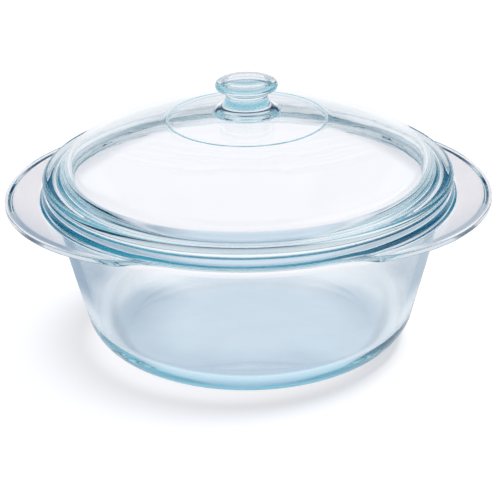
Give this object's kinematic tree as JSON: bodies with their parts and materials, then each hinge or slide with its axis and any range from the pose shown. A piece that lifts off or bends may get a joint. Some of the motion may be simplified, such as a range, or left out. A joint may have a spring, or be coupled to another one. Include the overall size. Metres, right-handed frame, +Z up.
{
  "type": "covered casserole dish",
  "caption": "Round clear-glass casserole dish with integral wing handles and a domed glass lid with a moulded knob; the lid lifts straight off its seat on the rim.",
  "frame": {"origin": "centre of the dish's flat base, on the surface that it stands on", "axes": "+Z up along the axis of dish, lid and knob; +X along the line through both handles"},
  "size_m": [0.2852, 0.2462, 0.159],
  "materials": {
    "dish_glass": "clear pressed glass, glossy, faint blue-green tint",
    "lid_glass": "clear pressed glass, glossy, faint blue-green tint"
  },
  "bodies": {
    "dish": {"dish": "dish_glass"},
    "lid": {"lid": "lid_glass"}
  },
  "joints": [
    {"name": "lid_lift", "type": "slide", "parent": "dish", "child": "lid", "axis": [0, 0, 1], "range_m": [0, 0.12]}
  ]
}
